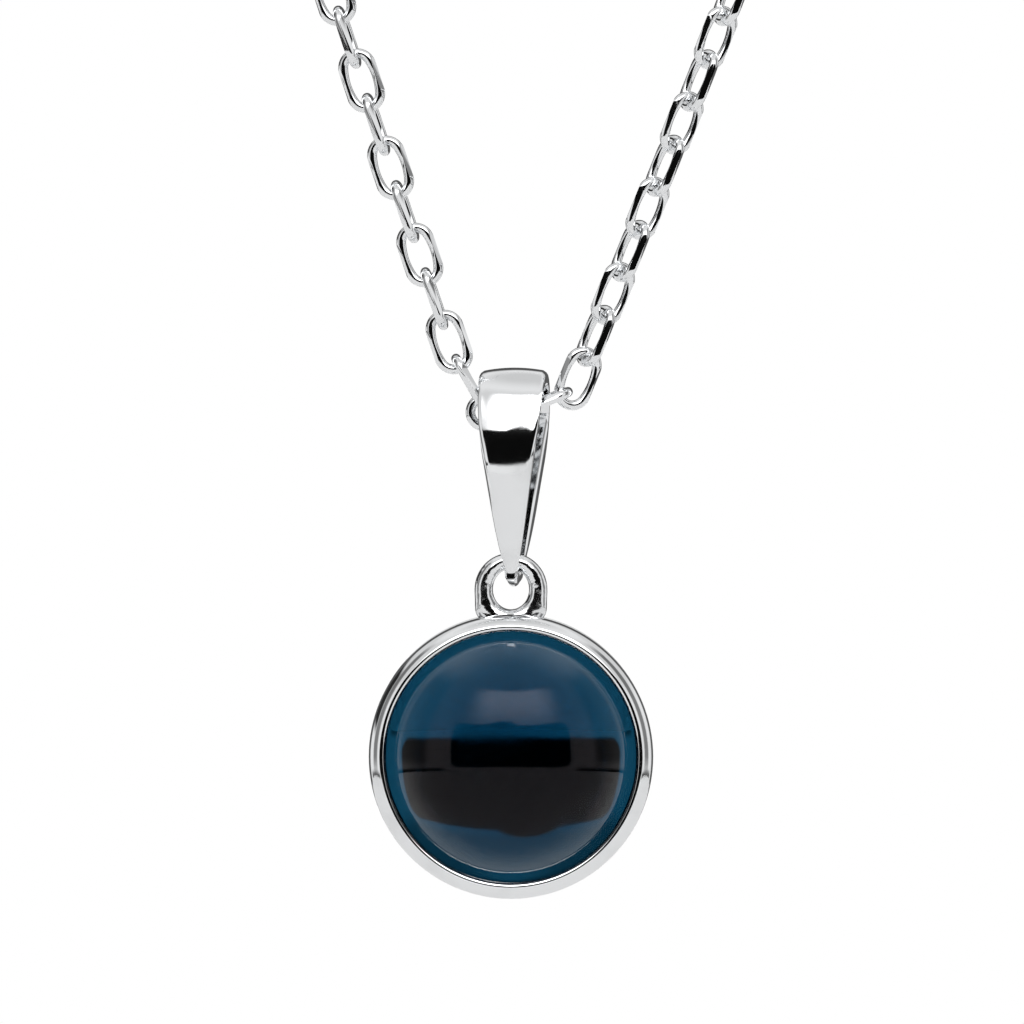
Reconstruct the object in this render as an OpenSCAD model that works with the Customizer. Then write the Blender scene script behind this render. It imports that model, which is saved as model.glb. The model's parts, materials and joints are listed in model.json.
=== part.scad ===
// Pendant necklace: a round cabochon in a bezel cup, on a tapered bail and a diamond-cut cable chain.
// It hangs as worn. +Z is up, the stone faces -Y, and the origin is midway between the two points
// at the sides of the neck where the chain stops hanging and starts to lie on the wearer.

/* [Pendant] */
// Outside diameter of the bezel
bezel_d = 11.0; // [10:0.1:13]
// Thickness of the bezel wall above the seat
bezel_wall = 0.55; // [0.45:0.05:0.8]
// Depth of the bezel from its back edge to the middle of its rounded lip
bezel_depth = 2.0; // [1.8:0.1:3]
// Diameter of the rounded lip that is pressed over the stone
lip_d = 0.64; // [0.6:0.02:0.7]
// Thickness of the closed back plate
plate_t = 0.6; // [0.5:0.1:1]
// Height of the seat that the stone stands on
seat_h = 0.8; // [0.6:0.1:1.2]
// Height of the straight girdle of the stone
girdle_h = 0.85; // [0.7:0.05:1]
// Height of the stone's dome above its girdle
dome_h = 2.75; // [2.2:0.05:3.2]

/* [Bail] */
// Height of the bail from its tip to its top
bail_h = 8.45; // [7.5:0.05:9]
// Width of the bail at its top
bail_w = 2.64; // [2.4:0.02:2.8]
// Thickness of the bail's sheet
bail_t = 0.6; // [0.5:0.05:0.7]
// Turn of the bail about the vertical, away from square
bail_turn = -8.5; // [-12:0.5:0]

/* [Eye] */
// Thickness of the eye's wire
eye_wire = 0.72; // [0.6:0.02:0.8]
// Radius of the eye, to the middle of its wire
eye_r = 1.05; // [1:0.01:1.15]

/* [Chain] */
// Length of one link, outside
link_l = 2.56; // [2.4:0.02:2.8]
// Width of one link before its sides are cut, outside
link_w = 1.62; // [1.58:0.02:1.7]
// Width of one link across its two cut flats
flat_w = 1.44; // [1.4:0.02:1.5]
// Diameter of the chain wire
wire_d = 0.38; // [0.34:0.01:0.38]
// Play between two links that pull on each other
play = 0.02; // [0.01:0.01:0.04]
// Links in the left strand above the first two, up to the neck
left_links = 67; // [59:2:75]
// Links in the right strand, up to the neck
right_links = 69; // [61:2:77]
// Links on each side from the neck to the clasp
back_links = 51; // [49:2:55]

/* [Clasp] */
// Thickness of the clasp's body
clasp_t = 1.5; // [1.4:0.05:1.6]
// Thickness of the clasp's lever
lever_t = 0.7; // [0.6:0.05:0.8]
// Diameter of the lever's rivet
rivet_d = 0.6; // [0.5:0.05:0.7]
// Diameter of the jump rings' wire
ring_wire = 0.6; // [0.5:0.05:0.7]
// Radius of the jump rings, to the middle of the wire
ring_r = 1.3; // [1.25:0.05:1.5]

/* [Hidden] */
$fn = 48;
silver = "#d9dce0";
near_links = 10;
group_count = 4;
single_left = [for (i = [1:near_links]) str("link_left_", i)];
single_right = [for (i = [1:near_links]) str("link_right_", i)];

// Pendant, from the middle of the bezel: depths run forwards, towards -Y
bezel_r = bezel_d / 2;
plate_back = -1.6;
seat_z = plate_back + plate_t + seat_h;
lip_z = plate_back + plate_t + bezel_depth;
stone_r = bezel_r - bezel_wall - 0.05;
seat_r = stone_r - 0.6;
dome_r = (stone_r * stone_r + dome_h * dome_h) / (2 * dome_h);
running = 0.06;

// Eye: a ring of round wire that stands on the rim, and the pivot is the middle of its top wire
eye_z = bezel_r + 0.95;
pivot_z = eye_z + eye_r;

// Bail, seen from the side: two round ends joined by bowed sides
bail_x = 0.12;
bail_foot_in = eye_wire / 2 + 0.1;
bail_foot_out = bail_foot_in + 0.52;
bail_top_out = 1.75;
bail_top_in = bail_top_out - bail_t;
bail_top_z = pivot_z - bail_foot_out + bail_h - bail_top_out;
bail_bow = 25;
bail_edge_r = 42.8;

// Link: round ends joined by straight sides, then a flat cut on each side
end_r = (link_w - wire_d) / 2;
arc_z = (link_l - wire_d) / 2 - end_r;
pitch = link_l - 2 * wire_d - play;
// Where a link seen from the side hangs between two round ends of its neighbours
long_reach = 2 * pitch - 2 * arc_z;

// The links at the bail, from the lower round end of the second link on the left
start_left = [-2.24, 0, 15.58];
lean_first = 29.5;
lean_left = 18.8;
lean_right = 22.5;
drop_left = 6;
rise_right = 22;
roll_bail = 5;
roll_first = 18;
roll_left = -8;
roll_right = 35;
// Each link weighs a little, so a strand grows steeper link by link
steepening = 0.015;
// Height of the wearer's nape above the sides of the neck, and how far back it is
nape = [0, 61, 37];
rise_up = 22;
run_in = 30;
samples = 160;

function up(a) = [sin(a), 0, cos(a)];
function unit(v) = v / norm(v);
function carried(e, u) = unit(e - (e * u) * u);
function turned(e, u, a) = e * cos(a) + cross(u, e) * sin(a);
function lean(a, k) = atan(1 / (1 / tan(a) + k * steepening));

bail_left = start_left - long_reach * up(-lean_first);
bail_right = bail_left + 2 * arc_z * up(90 + drop_left);
start_right = bail_right + long_reach * up(90 - rise_right);

// Joints of a hanging strand: side is -1 for the left and 1 for the right
function hanging(start, side, a, n) = let (first = start - (pitch / 2 - arc_z) * up(side * a))
    [for (k = 0, p = first; k <= n; p = p + pitch * up(side * lean(a, k)), k = k + 1) p];

joints_left = hanging(start_left, -1, lean_left, left_links);
joints_right = hanging(start_right, 1, lean_right, right_links);
top_left = joints_left[left_links];
top_right = joints_right[right_links];
end_left = unit(top_left - joints_left[left_links - 1]);
end_right = unit(top_right - joints_right[right_links - 1]);

// The clasp lies at the nape, midway between the strands, with the hook to the left
clasp_at = [(top_left.x + top_right.x) / 2, nape.y, (top_left.z + top_right.z) / 2 + nape.z];
hook_x = -2.4;
hook_out = 2.2;
hook_in = 1.4;
tail_x = 3.3;
tail_out = 1.1;
tail_in = 0.6;
gate_r = 3.7;
gate_pivot = [0.2, -1.0];
slot_t = lever_t + 0.1;
ring_gap = wire_d / 2 + ring_wire / 2 + play;
// How far a ring's middle stands off the wall that it is hooked round
stand_off = sqrt(pow(ring_r - ring_wire / 2 - play, 2) - pow(clasp_t / 2, 2));
catch_x = hook_x - hook_in - stand_off;
tail_ring_x = tail_x + tail_in + stand_off;
// A pulled link end sits inside its ring, one wire's width from the ring's wire
end_hook = clasp_at + [catch_x - ring_r + ring_gap - wire_d / 2 - play / 2, 0, 0];
end_tail = clasp_at + [tail_ring_x + ring_r - ring_gap + wire_d / 2 + play / 2, 0, 0];

function curve(p, t) = pow(1 - t, 3) * p[0] + 3 * t * pow(1 - t, 2) * p[1]
    + 3 * t * t * (1 - t) * p[2] + pow(t, 3) * p[3];
function ruler(p) = [for (i = 0, s = 0; i <= samples;
    s = s + norm(curve(p, (i + 1) / samples) - curve(p, i / samples)), i = i + 1) [s, i / samples]];
// Joints at equal steps along a curve
function along(p, n) = let (marks = ruler(p), whole = marks[samples][0])
    [for (k = [0:n]) curve(p, lookup(whole * k / n, marks))];

path_left = [top_left, top_left + rise_up * end_left, end_hook - [run_in, 0, 0], end_hook];
path_right = [top_right, top_right + rise_up * end_right, end_tail + [run_in, 0, 0], end_tail];
neck_joints_left = along(path_left, back_links);
neck_joints_right = along(path_right, back_links);

// Each link's own side direction, carried along the chain so that it never twists by itself
function dirs(j) = [for (k = [0:len(j) - 2]) unit(j[k + 1] - j[k])];
function frames(j, e) = let (u = dirs(j))
    [for (k = 0, f = carried(e, u[0]); k < len(u); k = k + 1, f = carried(f, u[min(k, len(u) - 1)])) f];
function quarter(k) = k % 2 == 0 ? 0 : 90;

frames_left = frames(joints_left, [1, 0, 0]);
frames_right = frames(joints_right, [1, 0, 0]);
neck_frames_left = frames(neck_joints_left, [0, 1, 0]);
neck_frames_right = frames(neck_joints_right, [0, 1, 0]);
// Small twist that brings the last link of each side square to its ring
function square_up(f, u) = atan2(cross(f, [0, 0, -1]) * u, f * [0, 0, -1]);
twist_left = square_up(neck_frames_left[back_links - 1], [1, 0, 0]);
twist_right = square_up(neck_frames_right[back_links - 1], [-1, 0, 0]);

// Roll of a strand: it comes out of the bail turned, and straightens towards the neck
function straightened(k, n) = min(1, (n - 1 - k) / (n - 1 - near_links));
function roll_left_at(k) = roll_left * min((k + 1) / 4, straightened(k, left_links));
function roll_right_at(k) = k == 0 ? roll_first : roll_right * straightened(k, right_links);

// The neck pivots are the round ends of the first links that lie on the neck
rest_left = top_left + (pitch / 2 - arc_z) * dirs(neck_joints_left)[0];
rest_right = top_right + (pitch / 2 - arc_z) * dirs(neck_joints_right)[0];
origin = (rest_left + rest_right) / 2;

module at_origin() {
    translate(-origin) children();
}

// Stands a solid of revolution so that its axis points at the wearer's front
module facing_front() {
    at_origin() rotate([90, 0, 0]) children();
}

module bezel_ring() {
    color(silver) facing_front() rotate_extrude($fn = 96) union() {
        translate([seat_r, plate_back + plate_t]) square([bezel_r - seat_r, seat_h]);
        translate([bezel_r - bezel_wall, plate_back + plate_t]) square([bezel_wall, bezel_depth]);
        translate([bezel_r - lip_d / 2, lip_z]) circle(d = lip_d);
    }
}

module back_plate() {
    color(silver) facing_front() translate([0, 0, plate_back]) cylinder(r = bezel_r, h = plate_t, $fn = 96);
}

module cabochon() {
    color("#1c4f73") facing_front() union() {
        translate([0, 0, seat_z]) cylinder(r = stone_r, h = girdle_h, $fn = 96);
        intersection() {
            translate([0, 0, seat_z + girdle_h + dome_h - dome_r]) sphere(r = dome_r, $fn = 96);
            translate([0, 0, seat_z + girdle_h]) cylinder(r = stone_r, h = dome_h + 1, $fn = 96);
        }
    }
}

module eye_loop() {
    color(silver) at_origin() difference() {
        translate([0, 0, eye_z]) rotate([90, 0, 0]) rotate_extrude() translate([eye_r, 0]) circle(d = eye_wire);
        rotate([90, 0, 0]) cylinder(r = bezel_r, h = 3 * eye_wire, center = true, $fn = 96);
    }
}

function arc_points(c, r, a0, a1, n) = [for (i = [0:n]) c + r * [cos(a0 + (a1 - a0) * i / n),
    sin(a0 + (a1 - a0) * i / n)]];

// Outline with round ends of radius r1 above r2, joined by bowed sides
module bowed_outline(r1, z1, r2, z2, bow) {
    mid = (pow(bow - r2, 2) - pow(bow - r1, 2)) / (2 * (z1 - z2)) + (z1 + z2) / 2;
    off = sqrt(pow(bow - r1, 2) - pow(mid - z1, 2));
    a1 = atan2(z1 - mid, off);
    a2 = atan2(z2 - mid, off);
    polygon(concat(
        arc_points([0, z1], r1, a1, 180 - a1, 24),
        arc_points([off, mid], bow, 180 - a1, 180 - a2, 8),
        arc_points([0, z2], r2, 180 - a2, 360 + a2, 16),
        arc_points([-off, mid], bow, a2, a1, 8)
    ));
}

module bail() {
    top = bail_top_z + bail_top_out;
    color(silver) at_origin() translate([bail_x, 0, 0]) rotate([0, 0, bail_turn]) intersection() {
        rotate([90, 0, 90]) linear_extrude(height = bail_w + 1, center = true) difference() {
            bowed_outline(bail_top_out, bail_top_z, bail_foot_out, pivot_z, bail_bow);
            bowed_outline(bail_top_in, bail_top_z, bail_foot_in, pivot_z, bail_bow);
        }
        rotate([90, 0, 0]) linear_extrude(height = 4 * bail_top_out, center = true) intersection() {
            translate([bail_w / 2 - bail_edge_r, top + 1.9]) circle(r = bail_edge_r, $fn = 240);
            translate([bail_edge_r - bail_w / 2, top + 1.9]) circle(r = bail_edge_r, $fn = 240);
            translate([-bail_w, top - 1.5 * bail_h]) square([2 * bail_w, 1.5 * bail_h]);
        }
    }
}

// One link in its own frame: its length along Z, its flat plane in XZ
module link() {
    intersection() {
        union() {
            for (end = [0, 180]) rotate([0, end, 0]) {
                translate([0, 0, arc_z]) rotate([90, 0, 0]) rotate_extrude(angle = 180)
                    translate([end_r, 0]) circle(d = wire_d, $fn = 24);
                translate([end_r, 0, -arc_z]) cylinder(d = wire_d, h = 2 * arc_z, $fn = 24);
            }
        }
        cube([flat_w, 2 * wire_d, 2 * link_l], center = true);
    }
}

// A link with its middle at c, its length along u and its side towards e
module set_link(c, u, e) {
    n = cross(u, e);
    color(silver) at_origin() multmatrix([
        [e.x, n.x, u.x, c.x],
        [e.y, n.y, u.y, c.y],
        [e.z, n.z, u.z, c.z],
        [0, 0, 0, 1]
    ]) link();
}

module link_between(a, b, e, roll) {
    u = unit(b - a);
    set_link((a + b) / 2, u, turned(carried(e, u), u, roll));
}

module hanging_left(k) {
    link_between(joints_left[k], joints_left[k + 1], frames_left[k], quarter(k) + roll_left_at(k));
}

module hanging_right(k) {
    link_between(joints_right[k], joints_right[k + 1], frames_right[k], quarter(k) + roll_right_at(k));
}

module lying_left(k) {
    link_between(neck_joints_left[k], neck_joints_left[k + 1], neck_frames_left[k],
        quarter(k) + twist_left * k / (back_links - 1));
}

module lying_right(k) {
    link_between(neck_joints_right[k], neck_joints_right[k + 1], neck_frames_right[k],
        quarter(k) + twist_right * k / (back_links - 1));
}

module link_bail_left() {
    link_between(bail_left, bail_right, [0, 0, 1], 0);
}

module link_bail_right() {
    link_between(bail_right, start_right, [0, 1, 0], roll_bail);
}

module link_left(i) {
    if (i == 1) link_between(bail_left, start_left, [0, 1, 0], 0);
    else hanging_left(i - 2);
}

module link_right(i) {
    hanging_right(i - 1);
}

// Group g of the links from first up to last, each group nearly straight
function group_range(first, last, g) = let (step = (last + 1 - first) / group_count)
    [round(first + (g - 1) * step) : round(first + g * step) - 1];

module strand_left(g) {
    for (k = group_range(near_links - 1, left_links - 1, g)) hanging_left(k);
}

module strand_right(g) {
    for (k = group_range(near_links, right_links - 1, g)) hanging_right(k);
}

module neck_left(g) {
    for (k = group_range(0, back_links - 1, g)) lying_left(k);
}

module neck_right(g) {
    for (k = group_range(0, back_links - 1, g)) lying_right(k);
}

module jump_ring(x) {
    color(silver) at_origin() translate(clasp_at + [x, 0, 0]) rotate_extrude()
        translate([ring_r, 0]) circle(d = ring_wire, $fn = 24);
}

module catch_ring() {
    jump_ring(catch_x);
}

module clasp_ring() {
    jump_ring(tail_ring_x);
}

// Extrudes an outline of the clasp, drawn in XZ, to a thickness about the clasp's middle plane
module clasp_slab(t) {
    at_origin() translate(clasp_at) rotate([90, 0, 0]) linear_extrude(height = t, center = true) children();
}

// The claw: a round hook that narrows to the tail, open at its foot where the lever closes it.
// Its areas are extruded before they are joined, which makes it one solid.
module clasp_body() {
    color(silver) difference() {
        union() {
            clasp_slab(clasp_t) translate([hook_x, 0]) circle(r = hook_out);
            clasp_slab(clasp_t) polygon([[hook_x + 0.4, hook_out - 0.03], [tail_x, tail_out], [tail_x, -tail_out],
                [hook_x + 1.6, -hook_out + 0.65]]);
            clasp_slab(clasp_t) translate([tail_x, 0]) circle(r = tail_out);
        }
        clasp_slab(2 * clasp_t) translate([hook_x, 0]) circle(r = hook_in);
        clasp_slab(2 * clasp_t) translate([tail_x, 0]) circle(r = tail_in);
        clasp_slab(2 * clasp_t) intersection() {
            translate(gate_pivot) circle(r = gate_r + running);
            translate([hook_x - 3, -4]) square([4.5, 3.1]);
        }
        clasp_slab(slot_t) translate([-1.6, -2.6]) square([3.2, 2.35]);
        clasp_slab(2 * clasp_t) translate(gate_pivot) circle(d = rivet_d);
    }
}

// The lever: an arm that closes the claw, round its rivet, with a knob for the thumb
module clasp_lever() {
    color(silver) difference() {
        union() {
            clasp_slab(lever_t) intersection() {
                difference() {
                    translate([hook_x, 0]) circle(r = hook_out - 0.15);
                    translate([hook_x, 0]) circle(r = hook_in + 0.1);
                }
                translate(gate_pivot) circle(r = gate_r);
                translate([hook_x - 3, -4]) square([4.4, 3.05]);
            }
            clasp_slab(lever_t) polygon([[-1.35, -1.0], [0.1, -0.5], [0.3, -1.5], [-1.6, -1.98]]);
            clasp_slab(lever_t) translate(gate_pivot) circle(r = 0.55);
            clasp_slab(lever_t) translate([-1.25, -2.1]) circle(r = 0.45);
        }
        clasp_slab(2 * lever_t) translate(gate_pivot) circle(d = rivet_d + running);
    }
}

module clasp_rivet() {
    color(silver) clasp_slab(clasp_t) translate(gate_pivot) circle(d = rivet_d);
}

// A bent strip of spring wire between the end of the slot and the lever's back
module clasp_spring() {
    color(silver) clasp_slab(0.6) difference() {
        translate([0.98, -1.0]) circle(r = 0.55);
        translate([0.98, -1.0]) circle(r = 0.42);
        translate([0.2, -2]) square([0.55, 2]);
    }
}

bezel_ring();
back_plate();
cabochon();
eye_loop();
bail();
link_bail_left();
link_bail_right();
for (i = [1:near_links]) link_left(i);
for (i = [1:near_links]) link_right(i);
for (g = [1:group_count]) strand_left(g);
for (g = [1:group_count]) strand_right(g);
for (g = [1:group_count]) neck_left(g);
for (g = [1:group_count]) neck_right(g);
catch_ring();
clasp_body();
clasp_lever();
clasp_rivet();
clasp_spring();
clasp_ring();
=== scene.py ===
import json
import math

import bpy
import numpy as np
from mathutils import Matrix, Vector


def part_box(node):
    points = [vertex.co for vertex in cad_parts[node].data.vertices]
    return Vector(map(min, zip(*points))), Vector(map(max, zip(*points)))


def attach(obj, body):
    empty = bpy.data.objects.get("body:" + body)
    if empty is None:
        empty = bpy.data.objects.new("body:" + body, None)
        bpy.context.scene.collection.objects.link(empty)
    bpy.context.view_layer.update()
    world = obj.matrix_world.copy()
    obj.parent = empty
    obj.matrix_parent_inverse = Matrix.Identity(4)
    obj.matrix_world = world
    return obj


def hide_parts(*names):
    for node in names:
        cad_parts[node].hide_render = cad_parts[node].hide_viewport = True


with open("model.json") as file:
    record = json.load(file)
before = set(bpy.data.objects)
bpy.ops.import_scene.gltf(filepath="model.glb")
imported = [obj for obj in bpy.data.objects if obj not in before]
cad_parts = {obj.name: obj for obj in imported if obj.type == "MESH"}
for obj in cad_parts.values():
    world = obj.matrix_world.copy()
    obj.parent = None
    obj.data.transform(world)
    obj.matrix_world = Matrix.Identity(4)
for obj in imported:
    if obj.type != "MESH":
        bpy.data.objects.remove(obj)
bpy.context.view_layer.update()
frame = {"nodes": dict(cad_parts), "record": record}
nodes = frame["nodes"]
mm = 0.001


# Studio. The necklace hangs in front of a white backdrop inside a soft light dome, above a plain
# pale floor. Black cards in the dome give polished metal the dark lines that show its shape.
class Signal:
    """A shader socket that can be written into sums, products and masks."""

    def __init__(self, tree, socket):
        self.tree = tree
        self.socket = socket

    def maths(self, operation, *values, swap=False):
        ends = [self, *values]
        if swap:
            ends.reverse()
        return node_of(self.tree, "ShaderNodeMath", {"operation": operation}, dict(enumerate(ends)))

    def __add__(self, other):
        return self.maths("ADD", other)

    def __sub__(self, other):
        return self.maths("SUBTRACT", other)

    def __rsub__(self, other):
        return self.maths("SUBTRACT", other, swap=True)

    def __mul__(self, other):
        return self.maths("MULTIPLY", other)

    def __neg__(self):
        return self * -1.0

    __radd__ = __add__
    __rmul__ = __mul__

    def step(self, low, high):
        """0 below low and 1 above high, with a soft edge between."""
        settings = {"interpolation_type": "SMOOTHSTEP"}
        ends = {"Value": self, "From Min": low, "From Max": high}
        return node_of(self.tree, "ShaderNodeMapRange", settings, ends)

    def between(self, low, high, soft):
        """1 between low and high, and 0 outside."""
        return self.step(low - soft, low + soft) * (1 - self.step(high - soft, high + soft))


def node_of(tree, kind, settings=None, inputs=None, output=0):
    """Adds a node with its settings and inputs, and gives one of its outputs."""
    node = tree.nodes.new(kind)
    for name, value in (settings or {}).items():
        setattr(node, name, value)
    for name, value in (inputs or {}).items():
        if isinstance(value, Signal):
            tree.links.new(value.socket, node.inputs[name])
        else:
            node.inputs[name].default_value = value
    return Signal(tree, node.outputs[output]) if node.outputs else None


def mixed(tree, share, first, second):
    """A colour that goes from first to second as share goes from 0 to 1."""
    return node_of(tree, "ShaderNodeMix", {"data_type": "RGBA"},
                   {"Factor": share, "A": first, "B": second}, output="Result")


def grey(value):
    return (value, value, value, 1.0)


bezel_low, bezel_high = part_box("bezel_ring")
plate_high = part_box("back_plate")[1]
cup_depth = 1.6 * mm
hub = Vector(((bezel_low.x + bezel_high.x) / 2, plate_high.y - cup_depth, (bezel_low.z + bezel_high.z) / 2))

lens, sensor, field = 150.0, 36.0, 39.69 * mm
camera_data = bpy.data.cameras.new("camera")
camera_data.lens = lens
camera_data.sensor_width = sensor
camera_data.clip_start = 0.005
camera_data.clip_end = 20.0
camera = bpy.data.objects.new("camera", camera_data)
aim_right, aim_up = 0.04 * mm, 9.44 * mm
camera.location = (hub.x + aim_right, -field * lens / sensor, hub.z + aim_up)
camera.rotation_euler = (math.pi / 2, 0, 0)
bpy.context.scene.collection.objects.link(camera)
bpy.context.scene.camera = camera
bpy.context.scene.view_settings.view_transform = "Standard"

dome = bpy.data.worlds.new("studio_dome")
bpy.context.scene.world = dome
dome.use_nodes = True
sky = dome.node_tree
sky.nodes.clear()
direction = node_of(sky, "ShaderNodeTexCoord", output="Generated")
axes = sky.nodes.new("ShaderNodeSeparateXYZ")
sky.links.new(direction.socket, axes.inputs[0])
right, back, up = (Signal(sky, s) for s in axes.outputs)
turn = right.maths("ARCTAN2", -back) * math.degrees(1)
rise = up.maths("ARCSINE") * math.degrees(1)
side = turn.maths("ABSOLUTE")
from_back = back.maths("ARCCOSINE") * math.degrees(1)
# The opening is the dark rounded card in front, with a hump on its upper left. The softbox is
# the bright panel above it, and light that passes through the stone doesn't see it.
beyond_side = (side - 42).maths("MAXIMUM", 0)
beyond_rise = ((rise - 7.75).maths("ABSOLUTE") - 10.25).maths("MAXIMUM", 0)
opening = 1 - (beyond_side * beyond_side + beyond_rise * beyond_rise).maths("SQRT").step(5, 7)
hump_turn = 0.55 * (turn + 7)
hump = 1 - (hump_turn * hump_turn + (rise - 19.5) * (rise - 19.5)).maths("SQRT").step(7, 9)
opening = opening.maths("MAXIMUM", hump)
through = node_of(sky, "ShaderNodeLightPath", output="Is Transmission Ray")
softbox = turn.between(-32, 38, 14) * rise.step(12, 46) * (1 - rise.step(49, 54)) * (1 - through)
# The other cards are dark strips beside the piece, behind it and round its back.
low_cards = side.between(54, 118, 3) * rise.between(-27, -9, 1.5)
back_cards = turn.between(-135, -100, 3) * rise.between(8, 34, 3)
edge_cards = from_back.between(8, 52, 5)
# The dome's own brightness, brighter below and dimmer overhead, then darkened by the cards.
level = 0.84 + 0.15 * (1 - rise.step(-85, -55)) - 0.2 * rise.step(60, 80)
level = level - (0.15 + 0.24 * through) * rise.between(25, 56, 5)
level = level * (1 - 0.75 * side.between(70, 98, 5) * rise.between(-8, 50, 6)) + 4.2 * softbox
level = level * (1 - 0.996 * opening) * (1 - 0.98 * low_cards) * (1 - 0.97 * back_cards)
level = level * (1 - 0.88 * edge_cards)
seen = node_of(sky, "ShaderNodeLightPath", output="Is Camera Ray")
shade = node_of(sky, "ShaderNodeBackground", inputs={"Color": grey(1.0), "Strength": level})
white = node_of(sky, "ShaderNodeBackground", inputs={"Color": grey(1.0), "Strength": 1.0})
blend = node_of(sky, "ShaderNodeMixShader", inputs={0: seen, 1: shade, 2: white})
node_of(sky, "ShaderNodeOutputWorld", inputs={"Surface": blend})

bpy.ops.object.select_all(action="DESELECT")
bpy.ops.mesh.primitive_circle_add(vertices=96, radius=1.9, fill_type="NGON", location=(0, 0, -0.5))
floor = bpy.context.object
floor.name = "floor"
floor_paint = bpy.data.materials.new("floor_paint")
floor_paint.use_nodes = True
floor_paint.node_tree.nodes["Principled BSDF"].inputs["Base Color"].default_value = grey(0.93)
floor_paint.node_tree.nodes["Principled BSDF"].inputs["Roughness"].default_value = 0.8
floor.data.materials.append(floor_paint)


# Bezel: a cup of rhodium-plated silver. It is a turned ring with an inner seat for the stone
# and a rounded lip, pressed over the stone's edge and polished by hand.
def polished(name, tone, low, high, ripple, pitch=900.0):
    """Hand-polished precious metal, faintly uneven, with hairline wear that dulls it in places."""
    material = bpy.data.materials.new(name)
    material.use_nodes = True
    tree = material.node_tree
    place = node_of(tree, "ShaderNodeTexCoord", output="Object")
    haze = node_of(tree, "ShaderNodeTexNoise", inputs={"Vector": place, "Scale": 700.0, "Detail": 4.0})
    grain = node_of(tree, "ShaderNodeTexNoise", inputs={"Vector": place, "Scale": 5200.0, "Detail": 3.0})
    waves = node_of(tree, "ShaderNodeTexNoise", inputs={"Vector": place, "Scale": pitch, "Detail": 1.5})
    specks = node_of(tree, "ShaderNodeTexVoronoi", inputs={"Vector": place, "Scale": 2600.0})
    wear = haze.step(0.45, 0.75)
    dust = 1 - specks.step(0.03, 0.09)
    height = waves + 0.12 * grain + 0.05 * dust
    relief = node_of(tree, "ShaderNodeBump",
                     inputs={"Strength": 1.0, "Distance": ripple, "Height": height})
    darker = tuple(0.93 * part for part in tone[:3]) + (1.0,)
    shader = tree.nodes["Principled BSDF"]
    shader.inputs["Metallic"].default_value = 1.0
    tree.links.new(mixed(tree, wear, tone, darker).socket, shader.inputs["Base Color"])
    tree.links.new((low + (high - low) * (0.6 * wear + 0.4 * grain)).socket, shader.inputs["Roughness"])
    tree.links.new(relief.socket, shader.inputs["Normal"])
    return material


def deselect():
    if bpy.context.object and bpy.context.object.mode != "OBJECT":
        bpy.ops.object.mode_set(mode="OBJECT")
    bpy.ops.object.select_all(action="DESELECT")


def drawn(name, points, closed=True):
    """A line through points, as a new selected object that is ready to be spun or extruded."""
    deselect()
    mesh = bpy.data.meshes.new(name)
    count = len(points)
    edges = [(i, (i + 1) % count) for i in range(count if closed else count - 1)]
    mesh.from_pydata([tuple(p) for p in points], edges, [])
    piece = bpy.data.objects.new(name, mesh)
    bpy.context.scene.collection.objects.link(piece)
    bpy.context.view_layer.objects.active = piece
    piece.select_set(True)
    return piece


def tidied(piece, angle=30):
    """Merges doubles, turns every face outwards and smooths all but the sharp edges."""
    bpy.ops.object.mode_set(mode="EDIT")
    bpy.ops.mesh.select_all(action="SELECT")
    bpy.ops.mesh.remove_doubles(threshold=1e-6)
    bpy.ops.mesh.normals_make_consistent(inside=False)
    bpy.ops.object.mode_set(mode="OBJECT")
    bpy.ops.object.shade_smooth_by_angle(angle=math.radians(angle))
    return piece


def spun(name, profile, centre, axis, steps, closed=True):
    """Turns a profile about an axis, as on a lathe."""
    piece = drawn(name, profile, closed)
    bpy.ops.object.mode_set(mode="EDIT")
    bpy.ops.mesh.select_all(action="SELECT")
    bpy.ops.mesh.spin(steps=steps, angle=2 * math.pi, center=centre, axis=axis)
    bpy.ops.object.mode_set(mode="OBJECT")
    return tidied(piece)


def arc(centre, radius, start, end, steps):
    """Points on an arc, in degrees."""
    angles = [math.radians(start + (end - start) * i / steps) for i in range(steps + 1)]
    return [(centre[0] + radius * math.cos(a), centre[1] + radius * math.sin(a)) for a in angles]


def turned_round_hub(name, profile, closed=True):
    """Spins (radius, depth) points in millimetres about the pendant's own axis."""
    points = [hub + Vector((r, -d, 0)) * mm for r, d in profile]
    return spun(name, points, hub, (0, 1, 0), 128, closed)


def finished(piece, material, body, slot, *replaced):
    piece.data.materials.clear()
    piece.data.materials.append(material)
    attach(piece, body)
    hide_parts(*replaced)


silver_tone = (0.90, 0.91, 0.92, 1.0)
setting_metal = polished("setting_metal", silver_tone, 0.03, 0.14, 5e-6)
bezel_profile = [(4.3, -0.97), (4.3, -0.26), (4.36, -0.2), (4.95, -0.2), (4.95, 0.82)]
bezel_profile += arc((5.0, 1.11), 0.16, 195, 62, 10)
bezel_profile += arc((4.701, 0.547), 0.797, 58, 8, 14)
bezel_profile += [(5.49, 0.4), (5.485, -0.2), (5.49, -0.9), (5.47, -0.97), (5.4, -1.0), (4.34, -1.0)]
bezel = turned_round_hub("bezel", bezel_profile)
finished(bezel, setting_metal, "pendant", "setting_silver", "bezel_ring")


# Back plate: a disc of the same metal, soldered on under the ring to close the cup.
# Its rim is eased by filing, and its inner face is the mirror behind the stone.
plate_profile = [(0, -1.0), (4.34, -1.0), (5.4, -1.0), (5.47, -1.03), (5.5, -1.08)]
plate_profile += arc((5.24, -1.34), 0.26, 0, -90, 8) + [(4.0, -1.6), (0, -1.6)]
plate = turned_round_hub("back_plate_disc", plate_profile, closed=False)
finished(plate, setting_metal, "pendant", "setting_silver", "back_plate")


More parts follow.
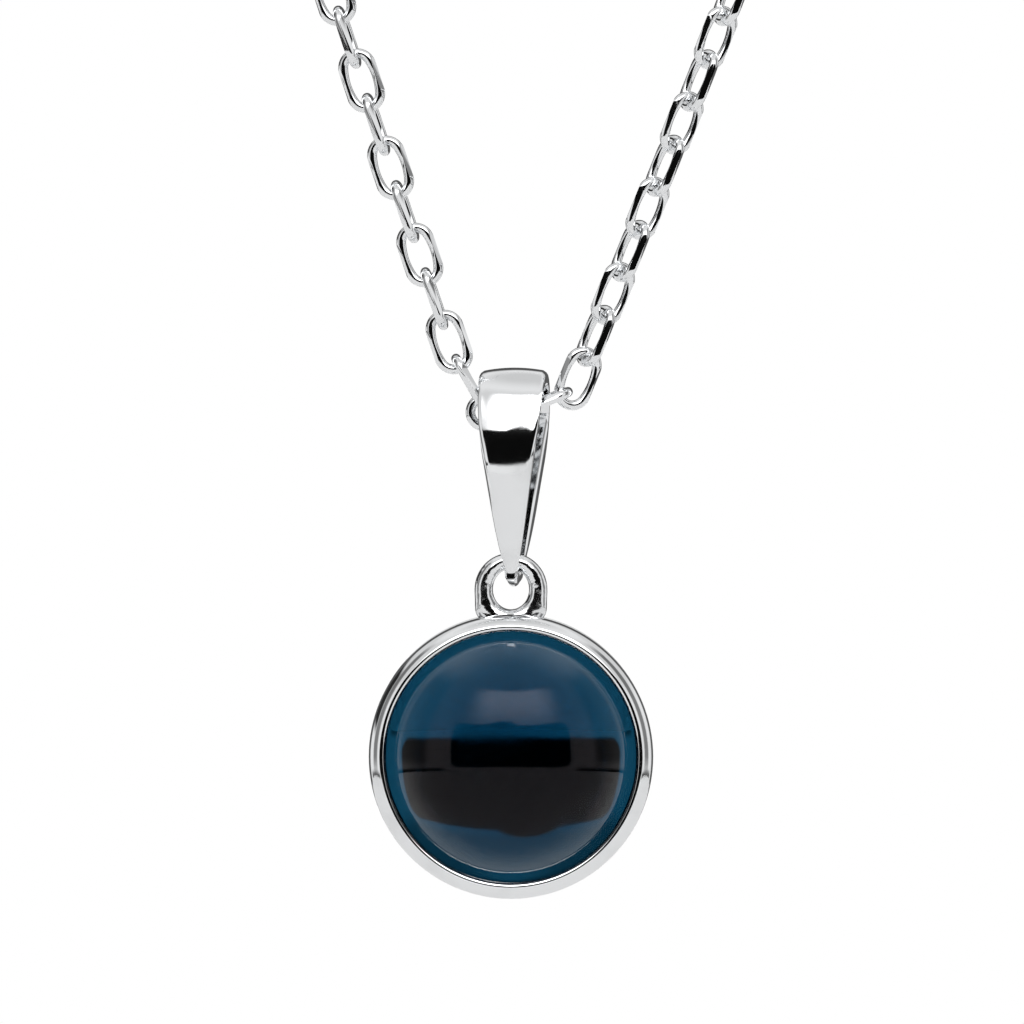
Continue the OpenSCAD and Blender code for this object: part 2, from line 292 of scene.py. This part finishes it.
# Cabochon: a deep teal-blue transparent stone with a polished dome and a flat base.
# A narrow bevel runs round the foot of the dome, and the lip holds the stone by it.
stone = bpy.data.materials.new("teal_stone")
stone.use_nodes = True
stone_tree = stone.node_tree
stone_place = node_of(stone_tree, "ShaderNodeTexCoord", output="Object")
smears = node_of(stone_tree, "ShaderNodeTexNoise",
                 inputs={"Vector": stone_place, "Scale": 420.0, "Detail": 5.0})
pits = node_of(stone_tree, "ShaderNodeTexVoronoi", inputs={"Vector": stone_place, "Scale": 900.0})
pit_mask = 1 - pits.step(0.02, 0.05)
stone_shader = stone_tree.nodes["Principled BSDF"]
stone_shader.inputs["IOR"].default_value = 1.62
stone_shader.inputs["Transmission Weight"].default_value = 1.0
stone_shader.inputs["Specular Tint"].default_value = (0.24, 0.22, 0.24, 1.0)
stone_tint = mixed(stone_tree, smears.step(0.4, 0.8), (0.93, 0.97, 1.0, 1.0), (0.86, 0.93, 0.98, 1.0))
stone_tree.links.new(stone_tint.socket, stone_shader.inputs["Base Color"])
stone_axes = stone_tree.nodes.new("ShaderNodeSeparateXYZ")
stone_tree.links.new(stone_place.socket, stone_axes.inputs[0])
stone_across = Signal(stone_tree, stone_axes.outputs["X"]) - hub.x
stone_up = Signal(stone_tree, stone_axes.outputs["Z"]) - hub.z
stone_reach = (stone_across * stone_across + stone_up * stone_up).maths("SQRT")
coat_from, coat_full = 3.3 * mm, 4.6 * mm
stone_tree.links.new(stone_reach.step(coat_from, coat_full).socket, stone_shader.inputs["Coat Weight"])
stone_tree.links.new((0.02 * smears.step(0.5, 0.8) + 0.1 * pit_mask).socket, stone_shader.inputs["Roughness"])
depths = stone_tree.nodes.new("ShaderNodeVolumeAbsorption")
depths.inputs["Color"].default_value = (0.04, 0.51, 0.63, 1.0)
depths.inputs["Density"].default_value = 900.0
stone_tree.links.new(depths.outputs[0], stone_tree.nodes["Material Output"].inputs["Volume"])

dome_radius, dome_top, ring_radius = 5.74, 3.4, 4.5
ring_angle = math.degrees(math.acos(ring_radius / dome_radius))
stone_profile = arc((0, dome_top - dome_radius), dome_radius, 90, ring_angle, 40)
stone_profile += [(4.6, 1.09), (4.72, 0.9), (4.82, 0.7), (4.88, 0.52), (4.9, 0.4)]
stone_profile += [(4.9, -0.14), (4.84, -0.2), (0, -0.2)]
cabochon = turned_round_hub("cabochon_stone", stone_profile, closed=False)
finished(cabochon, stone, "pendant", "blue_stone", "cabochon")


# Eye: a cast ring on the top of the bezel, soft-edged and thicker at its feet, where it was
# soldered to the cup. The bail's tip hangs through it.
eye_up, eye_r, eye_wide, eye_deep, eye_roundness = 6.45, 1.05, 0.36, 0.35, 1.9
eye_section_in, eye_section_across = 0.69, 0.72
eye_hole_r, eye_hole_sag, eye_rim_r = 0.70, 0.08, 1.41
solder_swell, solder_at, solder_spread = 0.27, 0.68, 0.3
eye_middle = hub + Vector((0, 0, eye_up * mm))
eye_section = []
for step in range(20):
    a = 2 * math.pi * step / 20
    c, s = math.cos(a), math.sin(a)
    swell = (abs(c) ** eye_roundness + abs(s) ** eye_roundness) ** (-1 / eye_roundness)
    eye_section.append(eye_middle + Vector((eye_r + eye_wide * swell * c, eye_deep * swell * s, 0)) * mm)
eye = spun("eye", eye_section, eye_middle, (0, 1, 0), 72)
for vertex in eye.data.vertices:
    offset = (vertex.co - eye_middle) / mm
    reach = math.hypot(offset.x, offset.z)
    share = (reach - eye_section_in) / eye_section_across
    drop = -offset.z / reach
    inner = eye_hole_r + eye_hole_sag * drop ** 2
    solder = solder_swell * math.exp(-((drop - solder_at) / solder_spread) ** 2) if drop > 0 else 0
    outer = eye_rim_r + solder
    new = inner + share * (outer - inner)
    vertex.co.x = eye_middle.x + offset.x / reach * new * mm
    vertex.co.z = eye_middle.z + offset.z / reach * new * mm
cast_metal = polished("cast_metal", silver_tone, 0.04, 0.2, 6e-5, 1500.0)
finished(eye, cast_metal, "pendant", "setting_silver", "eye_loop")


# Bail: a tapered strip of the same metal, folded over the chain and closed at its tip through
# the eye. Its face is crowned, its long edges are bevelled, and it is polished to a mirror.
bail_metal = polished("bail_metal", silver_tone, 0.03, 0.12, 5e-6)
bail_turn = math.radians(-8.5)
bail_axis = Vector((math.cos(bail_turn), math.sin(bail_turn), 0))
bail_front = Vector((math.sin(bail_turn), -math.cos(bail_turn), 0))
bail_foot = hub + Vector((0.12, 0, 0)) * mm
pivot_up, top_up = 7.5, 14.97
foot_angle, waist_angle, brow_angle = -18.4, -4.2, 12.0
brow_deep, brow_tall, brow_up = 1.824, 4.2, 10.77
waist_r, waist_in, waist_up = 4.98, 3.23, 11.585
leg_r, leg_in, leg_up = 16.56, 14.78, 12.43
foot_out, foot_flat, foot_pull = 0.98, 0.93, 1.35
inside_top_r, inside_top_up, inside_foot_r = 1.15, 13.22, 0.46
half_width, taper_r, widest_above_top = 1.35, 42.8, 1.9
tip_half_width, tip_from, tip_tall = 0.25, 7.05, 0.56
edge_wide, edge_share, crown_rise, face_steps = 0.16, 0.35, 0.11, 6


def on_front_leg(angle):
    """(-1 on the back leg or 1 on the front one, the matching angle on the front leg)."""
    if math.cos(math.radians(angle)) >= 0:
        return 1, angle
    return -1, (360 - angle) % 360 - 180


def bail_outer(angle):
    """Outer profile of the bail, (depth, height) where its surface faces angle degrees above level."""
    flip, folded = on_front_leg(angle)
    c, s = math.cos(math.radians(folded)), math.sin(math.radians(folded))
    if folded >= brow_angle:
        size = math.hypot(brow_deep * c, brow_tall * s)
        return flip * brow_deep ** 2 * c / size, brow_up + brow_tall ** 2 * s / size
    if folded >= waist_angle:
        return flip * (waist_r * c - waist_in), waist_up + waist_r * s
    if folded >= foot_angle:
        return flip * (leg_r * c - leg_in), leg_up + leg_r * s
    return flip * foot_out * min(foot_flat, foot_pull * c), pivot_up + foot_out * s


def bail_inner(angle):
    """Inner profile of the bail, round the chain at the top and round the eye's wire at the foot."""
    flip, folded = on_front_leg(angle)
    c, s = math.cos(math.radians(folded)), math.sin(math.radians(folded))
    lean = math.degrees(math.asin((inside_top_r - inside_foot_r) / (inside_top_up - pivot_up)))
    if folded >= -lean:
        return flip * inside_top_r * c, inside_top_up + inside_top_r * s
    return flip * inside_foot_r * c, pivot_up + inside_foot_r * s


def bail_half_width(height):
    """Half the strip's width, tapered on a long arc down to a small rounded tip."""
    taper = half_width - taper_r + math.sqrt(taper_r ** 2 - (height - top_up - widest_above_top) ** 2)
    below = max(0.0, (tip_from - height) / tip_tall)
    return max(taper, tip_half_width * math.sqrt(max(0.0, 1 - below ** 2)))


def bail_section(width):
    """Half outline of the strip's section: (across, share of the thickness, crown)."""
    edge = min(edge_wide, edge_share * width)
    steps = range(face_steps, -1, -1)
    face = [(width - edge) * k / face_steps for k in steps]
    crown = [crown_rise * (width / half_width) * (1 - (k / face_steps) ** 2) for k in steps]
    half = [(0, 0.0, 0), (width - 0.08, 0.0, 0), (width, 0.12, 0), (width, 0.7, 0), (width - 0.04, 0.8, 0)]
    return half + [(x, 1.0, extra - 0.04) for x, extra in zip(face, crown)]


def steps_between(first, last, count):
    return [first + (last - first) * i / count for i in range(count)]


bail_angles = steps_between(-180 - foot_angle, foot_angle, 20)
bail_angles += steps_between(foot_angle, brow_angle, 24)
bail_angles += steps_between(brow_angle, 180 - brow_angle, 56)
bail_angles += steps_between(180 - brow_angle, 180 - foot_angle, 24)
rings = []
for angle in bail_angles:
    out_d, out_z = bail_outer(angle)
    in_d, in_z = bail_inner(angle)
    facing = Vector((0, math.cos(math.radians(angle)), math.sin(math.radians(angle))))
    out_w, in_w = (max(bail_half_width(z), 0.06) for z in (out_z, in_z))
    ring = []
    outline = bail_section(out_w)
    loop = outline + [(-x, share, crown) for x, share, crown in reversed(outline[1:-1])]
    for across, share, crown in loop:
        ratio = in_w / out_w + (1 - in_w / out_w) * share
        depth = in_d + (out_d - in_d) * share + crown * facing.y
        height = in_z + (out_z - in_z) * share + crown * facing.z
        offset = bail_axis * across * ratio + bail_front * depth + Vector((0, 0, height))
        ring.append(bail_foot + offset * mm)
    rings.append(ring)


def lofted(name, rings):
    """Skins a closed run of rings: the first ring is drawn and extruded once for every other."""
    piece = drawn(name, rings[0])
    bpy.ops.object.mode_set(mode="EDIT")
    bpy.ops.mesh.select_all(action="SELECT")
    for ring in rings[1:]:
        bpy.ops.mesh.extrude_region_move(TRANSFORM_OT_translate={"value": (0, 0, mm)})
    bpy.ops.object.mode_set(mode="OBJECT")
    places = [c for ring in rings for p in ring for c in p]
    piece.data.vertices.foreach_set("co", places)
    bpy.ops.object.mode_set(mode="EDIT")
    bpy.ops.mesh.select_all(action="DESELECT")
    bpy.ops.mesh.select_mode(type="EDGE")
    bpy.ops.object.mode_set(mode="OBJECT")
    size, last = len(rings[0]), len(rings) - 1
    for edge in piece.data.edges:
        rows = {v // size for v in edge.vertices}
        edge.select = rows == {0} or rows == {last}
    bpy.ops.object.mode_set(mode="EDIT")
    bpy.ops.mesh.bridge_edge_loops()
    bpy.ops.mesh.select_mode(type="VERT")
    bpy.ops.object.mode_set(mode="OBJECT")
    return piece


bail = tidied(lofted("bail_strip", rings), angle=32)
finished(bail, bail_metal, "hanger", "bail_silver", "bail")


# Chain links: round silver wire, bent, closed and soldered, then the finished chain is
# diamond-cut so that each link has two bright facets down each long side, meeting at a ridge.
chain_metal = polished("chain_metal", silver_tone, 0.03, 0.12, 3e-6)
cut_metal = polished("cut_metal", silver_tone, 0.08, 0.2, 3e-6)
wire_r, cut_in, cut_turn = 0.19, 0.095, math.radians(35)
bend_z, bend_r, bow_x, bow_r = 0.532, 0.558, 0.634, 2.458
fine_smooth, coarse_smooth, flat_on_cut = 28, 75, 0.9995


def link_line(steps_end, steps_side):
    """Middle line of a link's wire: (across, along, direction faced in degrees)."""
    swing = math.degrees(math.asin(bend_z / (bow_r - bend_r)))
    top = [(bend_r * math.cos(math.radians(a)), bend_z + bend_r * math.sin(math.radians(a)), a)
           for a in steps_between(swing, 180 - swing, steps_end)]
    bow_at = bow_x - bow_r
    left = [(-bow_at + bow_r * math.cos(math.radians(a)), bow_r * math.sin(math.radians(a)), a)
            for a in steps_between(180 - swing, 180 + swing, steps_side)]
    return top + left + [(-x, -z, a + 180) for x, z, a in top + left]


def link_model(name, steps_end, steps_side, around):
    """One link at the origin, long side along Z, with two cuts along each of its sides."""
    turns = [2 * math.pi * (k + 0.5) / around for k in range(around)]
    thick = Vector((0, 1, 0))
    rings = []
    for x, z, a in link_line(steps_end, steps_side):
        middle = Vector((x, 0, z))
        out = Vector((math.cos(math.radians(a)), 0, math.sin(math.radians(a))))
        rings.append([(middle + wire_r * (math.cos(t) * out + math.sin(t) * thick)) * mm for t in turns])
    piece = lofted(name, rings)
    bpy.ops.object.mode_set(mode="EDIT")
    cuts = [Vector((way * math.cos(cut_turn), face * math.sin(cut_turn), 0))
            for way in (1, -1) for face in (1, -1)]
    for cut in cuts:
        middle = Vector((math.copysign(bow_x, cut.x), 0, 0))
        bpy.ops.mesh.select_all(action="SELECT")
        bpy.ops.mesh.bisect(plane_co=(middle + cut_in * cut) * mm, plane_no=cut,
                            use_fill=True, clear_outer=True, threshold=1e-7)
    bpy.ops.object.mode_set(mode="OBJECT")
    tidied(piece, angle=fine_smooth if around > 8 else coarse_smooth)
    for face in piece.data.polygons:
        face.material_index = int(any(face.normal.dot(cut) > flat_on_cut for cut in cuts))
    return piece


near_link = link_model("near_link", 16, 8, 18)
far_link = link_model("far_link", 4, 2, 6)


def links_in(node):
    """(middle, long axis, side axis) of each separate link in a CAD node, from the shape of its mesh."""
    mesh = nodes[node].data
    corners = np.zeros(len(mesh.vertices) * 3)
    mesh.vertices.foreach_get("co", corners)
    corners = corners.reshape(-1, 3)
    faces = np.zeros(len(mesh.polygons) * 3, np.int64)
    mesh.polygons.foreach_get("vertices", faces)
    faces = faces.reshape(-1, 3)
    same = np.unique(np.round(corners * 1e7).astype(np.int64), axis=0, return_inverse=True)[1].ravel()
    tied, label = same[faces], np.arange(same.max() + 1)
    while True:
        lowest, new = label[tied].min(1), label.copy()
        for column in range(3):
            np.minimum.at(new, tied[:, column], lowest)
        new = new[new]
        if (new == label).all():
            break
        label = new
    found = []
    for part in np.unique(label):
        corner_sets = corners[faces[label[tied[:, 0]] == part]]
        areas = np.linalg.norm(np.cross(corner_sets[:, 1] - corner_sets[:, 0],
                                        corner_sets[:, 2] - corner_sets[:, 0]), axis=1)
        centres = corner_sets.mean(1)
        middle = (centres * areas[:, None]).sum(0) / areas.sum()
        spread = (centres - middle).T @ ((centres - middle) * areas[:, None])
        directions = np.linalg.eigh(spread)[1]
        found.append((Vector(middle), Vector(directions[:, 2]), Vector(directions[:, 1])))
    return found


def chained(name, model, node, body):
    """A copy of the model at each link of a CAD node, as one piece."""
    rest = np.zeros(len(model.data.vertices) * 3)
    model.data.vertices.foreach_get("co", rest)
    rest = rest.reshape(-1, 3)
    deselect()
    copies = []
    for middle, along, side_way in links_in(node):
        across = along.cross(side_way)
        placed = bpy.data.objects.new(name, model.data.copy())
        bpy.context.scene.collection.objects.link(placed)
        matrix = np.array([side_way, across, along])
        placed.data.vertices.foreach_set("co", (rest @ matrix + np.array(middle)).ravel())
        placed.select_set(True)
        copies.append(placed)
    bpy.context.view_layer.objects.active = copies[0]
    if len(copies) > 1:
        bpy.ops.object.join()
    piece = bpy.context.object
    piece.name = name
    bpy.ops.object.mode_set(mode="EDIT")
    bpy.ops.mesh.select_all(action="SELECT")
    bpy.ops.mesh.normals_make_consistent(inside=False)
    bpy.ops.object.mode_set(mode="OBJECT")
    piece.data.materials.clear()
    piece.data.materials.append(chain_metal)
    piece.data.materials.append(cut_metal)
    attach(piece, body)
    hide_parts(node)


body_of_node = {n: b for b, members in frame["record"]["behaviour"]["bodies"].items() for n in members}
for node in sorted(body_of_node):
    if node.startswith("link_"):
        chained(node.replace("link", "wire_link"), near_link, node, body_of_node[node])
    elif node.startswith(("strand_", "neck_")):
        chained(node + "_links", far_link, node, body_of_node[node])
for model in (near_link, far_link):
    bpy.data.objects.remove(model)


# Clasp: a small lobster claw, cast in two parts, with its lever on a rivet and held shut by a
# spring. A jump ring joins its tail to the chain, and another is what it hooks into.
clasp_metal = polished("clasp_metal", silver_tone, 0.05, 0.18, 5e-6)


def softened(name, node, width):
    """A CAD shape with its sharp edges rounded by tumbling and polishing."""
    deselect()
    piece = bpy.data.objects.new(name, nodes[node].data.copy())
    bpy.context.scene.collection.objects.link(piece)
    bpy.context.view_layer.objects.active = piece
    piece.select_set(True)
    tidied(piece)
    bpy.ops.object.mode_set(mode="EDIT")
    bpy.ops.mesh.select_all(action="SELECT")
    bpy.ops.mesh.dissolve_limited(angle_limit=math.radians(1))
    bpy.ops.object.mode_set(mode="OBJECT")
    rounding = piece.modifiers.new("rounding", "BEVEL")
    rounding.width = width
    rounding.segments = 3
    rounding.limit_method = "ANGLE"
    rounding.angle_limit = math.radians(40)
    bpy.ops.object.modifier_apply(modifier=rounding.name)
    bpy.ops.object.shade_smooth_by_angle(angle=math.radians(35))
    return piece


claw = softened("claw", "clasp_body", 0.04 * mm)
finished(claw, clasp_metal, "neck", "clasp_silver", "clasp_body")
lever = softened("thumb_lever", "clasp_lever", 0.03 * mm)
finished(lever, clasp_metal, "lever", "clasp_silver", "clasp_lever")
spring_tone = (0.62, 0.62, 0.63, 1.0)
spring_metal = polished("spring_metal", spring_tone, 0.2, 0.4, 4e-6)
for node in ("clasp_rivet", "catch_ring", "clasp_ring"):
    nodes[node].material_slots[0].material = clasp_metal
nodes["clasp_spring"].material_slots[0].material = spring_metal
